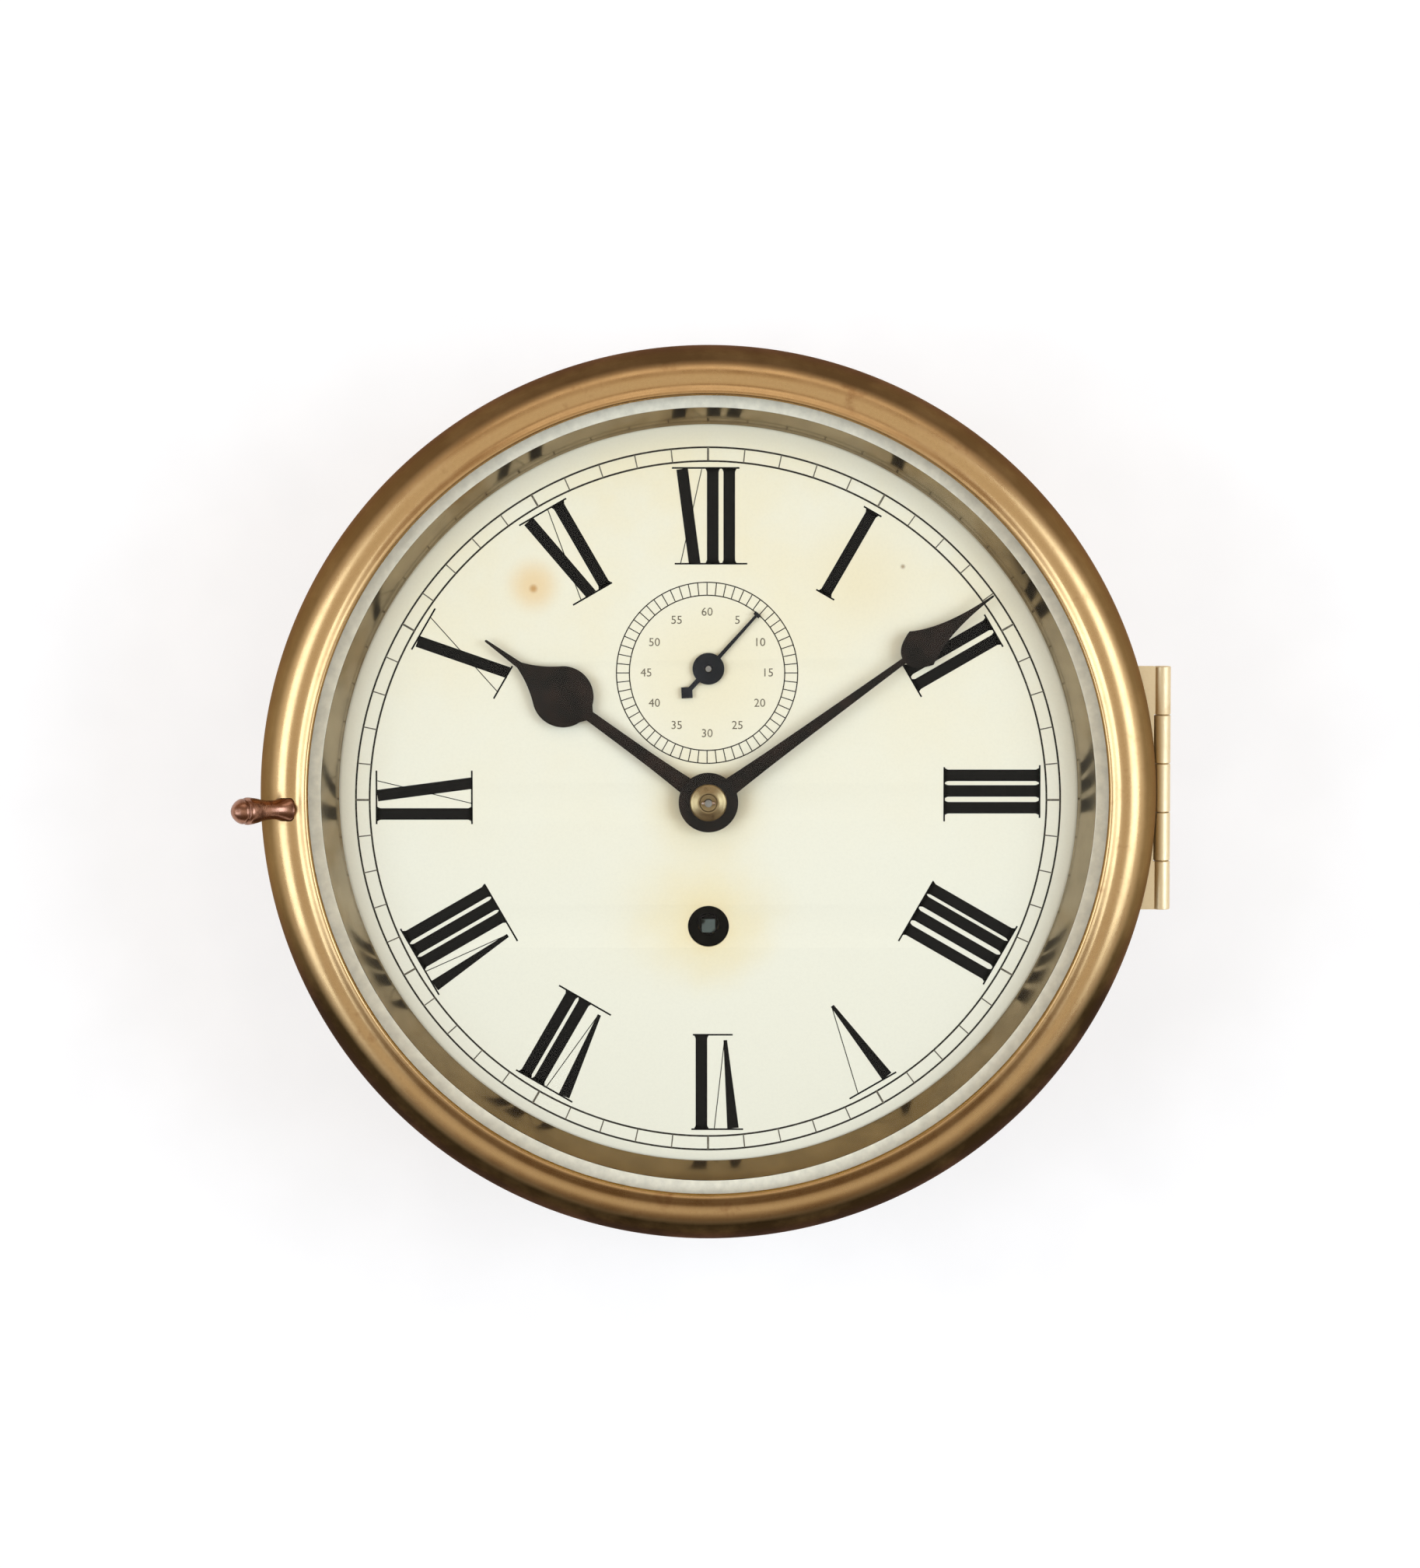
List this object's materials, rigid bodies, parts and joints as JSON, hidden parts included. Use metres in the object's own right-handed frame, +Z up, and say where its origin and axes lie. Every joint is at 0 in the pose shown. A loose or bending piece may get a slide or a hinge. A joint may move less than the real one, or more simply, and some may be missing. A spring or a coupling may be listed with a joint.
{
  "type": "bulkhead clock",
  "caption": "Round brass bulkhead clock with a hinged glazed bezel, cream dial, seconds ring, spade hands and a wound lever movement in a drum case.",
  "frame": {"origin": "centre of the drum case on its back face, where it meets the wall", "axes": "+Y into the wall along the case axis, the dial facing -Y; +Z up through twelve o'clock; +X to the right, through the bezel hinge at three o'clock"},
  "size_m": [0.2393, 0.0781, 0.2286],
  "materials": {
    "polished_brass": "polished, a little worn",
    "plate_brass": "satin",
    "reflector_brass": "mirror polished",
    "coppery_brass": "dark, toned and polished by hands",
    "dial_paint": "aged cream enamel paint, semi-matt",
    "steel": "satin",
    "blued_steel": "blue-black, glossy",
    "glass": "clear, flat"
  },
  "bodies": {
    "case": {"case_drum": "polished_brass", "case_back": "plate_brass", "movement_post_1": "plate_brass", "movement_post_2": "plate_brass", "movement_post_3": "plate_brass", "movement_post_4": "plate_brass", "back_plate": "plate_brass", "front_plate": "plate_brass", "pillar_1": "plate_brass", "pillar_2": "plate_brass", "pillar_3": "plate_brass", "pillar_4": "plate_brass", "pillar_nut_1": "steel", "pillar_nut_2": "steel", "pillar_nut_3": "steel", "pillar_nut_4": "steel", "dial": "dial_paint", "hinge_leaf_case": "polished_brass", "hinge_pin": "polished_brass", "click_screw": "steel", "click_spring": "steel", "click_spring_screw": "steel", "hairspring": "blued_steel", "hairspring_stud": "steel", "balance_cock": "plate_brass", "minute_wheel_stud": "steel"},
    "bezel_body": {"bezel": "polished_brass", "bezel_knob": "coppery_brass", "glass": "glass", "reflector_ring": "reflector_brass", "hinge_leaf_bezel": "polished_brass"},
    "centre_body": {"centre_arbor": "steel", "centre_wheel": "plate_brass", "cannon_pinion": "steel", "minute_hand": "blued_steel", "hand_collet": "polished_brass", "hand_pin": "steel"},
    "hour_body": {"hour_wheel": "plate_brass", "hour_hand": "blued_steel"},
    "minute_wheel_body": {"minute_wheel": "plate_brass"},
    "barrel_body": {"barrel": "plate_brass", "barrel_cap": "plate_brass", "mainspring": "steel"},
    "third_body": {"third_arbor": "steel", "third_wheel": "plate_brass"},
    "fourth_body": {"fourth_arbor": "steel", "fourth_wheel": "plate_brass", "seconds_hand": "blued_steel"},
    "escape_body": {"escape_arbor": "steel", "escape_wheel": "steel"},
    "lever_body": {"pallet_lever": "steel", "pallet_arbor": "steel"},
    "balance_body": {"balance_staff": "steel", "balance_wheel": "plate_brass"},
    "winding_body": {"barrel_arbor": "steel", "ratchet_wheel": "steel"},
    "click_body": {"click": "steel"}
  },
  "joints": [
    {"name": "bezel_hinge", "type": "hinge", "parent": "case", "child": "bezel_body", "pos_m": [0.1158, -0.05715, 0], "axis": [0, 0, 1], "range_deg": [0, 115]},
    {"name": "minute_turn", "type": "hinge", "parent": "case", "child": "centre_body", "pos_m": [0, -0.04, -0.002], "axis": [0, 1, 0], "continuous": true},
    {"name": "hour_turn", "type": "hinge", "parent": "case", "child": "hour_body", "pos_m": [0, -0.052, -0.002], "axis": [0, 1, 0], "continuous": true},
    {"name": "minute_wheel_turn", "type": "hinge", "parent": "case", "child": "minute_wheel_body", "pos_m": [-0.014, -0.051, -0.002], "axis": [0, 1, 0], "continuous": true},
    {"name": "barrel_turn", "type": "hinge", "parent": "case", "child": "barrel_body", "pos_m": [0, -0.032, -0.034], "axis": [0, 1, 0], "continuous": true},
    {"name": "third_turn", "type": "hinge", "parent": "case", "child": "third_body", "pos_m": [0.01201, -0.035, 0.01605], "axis": [0, 1, 0], "continuous": true},
    {"name": "seconds_turn", "type": "hinge", "parent": "case", "child": "fourth_body", "pos_m": [0, -0.04, 0.032], "axis": [0, 1, 0], "continuous": true},
    {"name": "escape_turn", "type": "hinge", "parent": "case", "child": "escape_body", "pos_m": [-0.0152, -0.035, 0.02135], "axis": [0, 1, 0], "continuous": true},
    {"name": "lever_swing", "type": "hinge", "parent": "case", "child": "lever_body", "pos_m": [-0.0208, -0.035, 0.01336], "axis": [0, 1, 0], "range_deg": [-4, 4]},
    {"name": "balance_swing", "type": "hinge", "parent": "case", "child": "balance_body", "pos_m": [-0.02826, -0.025, 0.00271], "axis": [0, 1, 0], "range_deg": [-135, 135]},
    {"name": "winding_turn", "type": "hinge", "parent": "case", "child": "winding_body", "pos_m": [0, -0.04, -0.034], "axis": [0, 1, 0], "range_deg": [0, 1440]},
    {"name": "click_lift", "type": "hinge", "parent": "case", "child": "click_body", "pos_m": [0.01385, -0.05, -0.04], "axis": [0, 1, 0], "range_deg": [0, 12]}
  ],
  "couplings": [
    {"joint": "hour_turn", "follows": "minute_turn", "ratio": 0.083333},
    {"joint": "minute_wheel_turn", "follows": "minute_turn", "ratio": -0.33333},
    {"joint": "barrel_turn", "follows": "minute_turn", "ratio": -0.125},
    {"joint": "third_turn", "follows": "minute_turn", "ratio": -8},
    {"joint": "seconds_turn", "follows": "minute_turn", "ratio": 60},
    {"joint": "escape_turn", "follows": "minute_turn", "ratio": -600}
  ]
}
